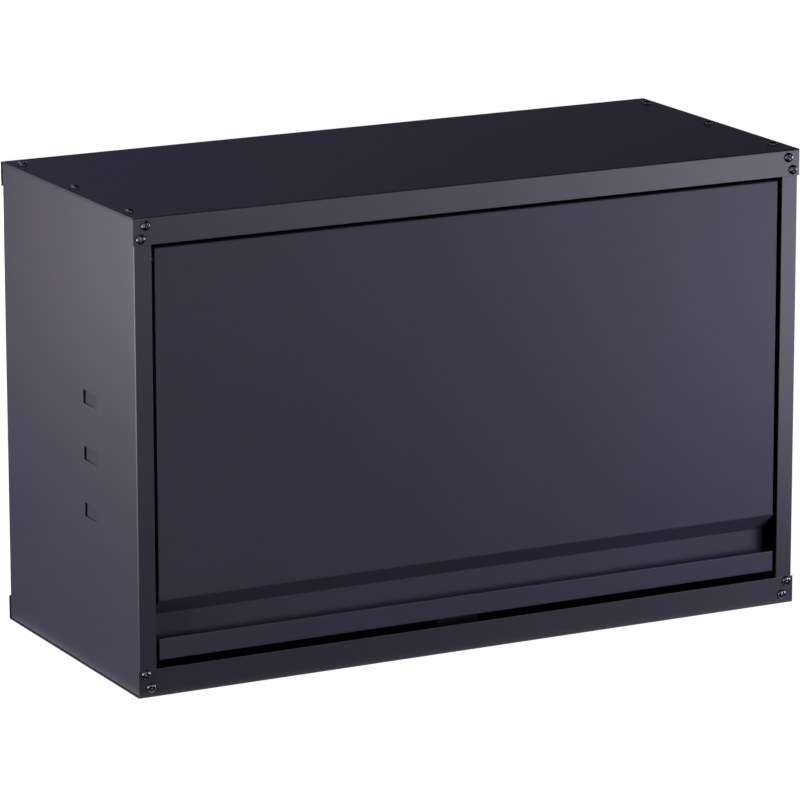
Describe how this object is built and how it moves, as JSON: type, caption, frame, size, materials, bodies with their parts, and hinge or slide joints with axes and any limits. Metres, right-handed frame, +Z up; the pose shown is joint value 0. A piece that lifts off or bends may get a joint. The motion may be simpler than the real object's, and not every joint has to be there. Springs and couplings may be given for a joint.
{
  "type": "garage cabinet",
  "caption": "Wall-hung sheet-steel garage cabinet with an up-flip door, folded finger pull, gas struts, magnetic catch, lift-out shelf and rear mounting bars.",
  "frame": {"origin": "middle of the footprint, on the plane that the heads of the bottom screws stand on", "axes": "+X to the cabinet's right seen from the front, +Y from the door to the wall, +Z up"},
  "size_m": [0.711, 0.311, 0.463],
  "materials": {
    "powder_coat": "smooth satin powder coat, dark charcoal",
    "door_coat": "smooth satin powder coat, dark charcoal",
    "screw_black": "black zinc plate, glossy",
    "zinc": "bright zinc plate",
    "bracket_steel": "satin black",
    "strut_black": "gloss black",
    "rod_chrome": "hard chrome",
    "socket_plastic": "moulded, fine grain",
    "bush_nylon": "black nylon",
    "buffer_rubber": "matt",
    "catch_plastic": "moulded, fine grain",
    "magnet_ferrite": "ground ferrite",
    "pole_steel": "ground"
  },
  "bodies": {
    "cabinet": {"top_panel": "powder_coat", "bottom_panel": "powder_coat", "side_panel_left": "powder_coat", "side_panel_right": "powder_coat", "back_panel": "powder_coat", "mounting_bar_upper": "powder_coat", "mounting_bar_lower": "powder_coat", "shelf": "powder_coat", "shelf_stiffener": "powder_coat", "back_rivets": "powder_coat", "front_corner_screws": "screw_black", "rear_corner_screws": "screw_black", "top_screws": "screw_black", "bottom_screws": "screw_black", "corner_nuts": "zinc", "end_nuts": "zinc", "strut_upper_studs": "zinc", "catch_screws": "zinc", "strut_upper_bracket_left": "bracket_steel", "strut_upper_bracket_right": "bracket_steel", "door_stop_left": "bracket_steel", "door_stop_right": "bracket_steel", "catch_bracket": "bracket_steel", "frame_pivot_bracket_left": "bracket_steel", "frame_pivot_bracket_right": "bracket_steel", "pivot_bush_left": "bush_nylon", "pivot_bush_right": "bush_nylon", "door_buffers": "buffer_rubber", "catch_housing": "catch_plastic", "catch_magnet": "magnet_ferrite", "catch_poles": "pole_steel"},
    "door": {"door_skin": "door_coat", "door_liner": "door_coat", "door_rivets": "door_coat", "door_channel_left": "door_coat", "door_channel_right": "door_coat", "pivot_screw_left": "screw_black", "pivot_screw_right": "screw_black", "pivot_nuts": "screw_black", "door_pivot_plate_left": "bracket_steel", "door_pivot_plate_right": "bracket_steel", "strut_lower_bracket_left": "bracket_steel", "strut_lower_bracket_right": "bracket_steel", "strut_lower_studs": "zinc", "strut_foot_screws": "screw_black", "strut_foot_nuts": "zinc"},
    "left_strut_cylinder": {"strut_cylinder_left": "strut_black", "strut_upper_socket_left": "socket_plastic"},
    "right_strut_cylinder": {"strut_cylinder_right": "strut_black", "strut_upper_socket_right": "socket_plastic"},
    "left_strut_rod": {"strut_rod_left": "rod_chrome", "strut_lower_socket_left": "socket_plastic"},
    "right_strut_rod": {"strut_rod_right": "rod_chrome", "strut_lower_socket_right": "socket_plastic"}
  },
  "joints": [
    {"name": "door_hinge", "type": "hinge", "parent": "cabinet", "child": "door", "pos_m": [0, -0.1425, 0.4184], "axis": [-1, 0, 0], "range_deg": [0, 90]},
    {"name": "left_strut_pivot", "type": "hinge", "parent": "cabinet", "child": "left_strut_cylinder", "pos_m": [-0.322, -0.1085, 0.3944], "axis": [-1, 0, 0], "range_deg": [0, 87]},
    {"name": "left_strut_stroke", "type": "slide", "parent": "left_strut_cylinder", "child": "left_strut_rod", "axis": [0, 0, -1], "range_m": [0, 0.0583]},
    {"name": "right_strut_pivot", "type": "hinge", "parent": "cabinet", "child": "right_strut_cylinder", "pos_m": [0.322, -0.1085, 0.3944], "axis": [-1, 0, 0], "range_deg": [0, 87]},
    {"name": "right_strut_stroke", "type": "slide", "parent": "right_strut_cylinder", "child": "right_strut_rod", "axis": [0, 0, -1], "range_m": [0, 0.0583]}
  ],
  "couplings": [
    {"joint": "left_strut_pivot", "follows": "door_hinge", "ratio": 0.9663},
    {"joint": "left_strut_stroke", "follows": "door_hinge", "m_per_rad": 0.03709},
    {"joint": "right_strut_pivot", "follows": "door_hinge", "ratio": 0.9663},
    {"joint": "right_strut_stroke", "follows": "door_hinge", "m_per_rad": 0.03709}
  ]
}
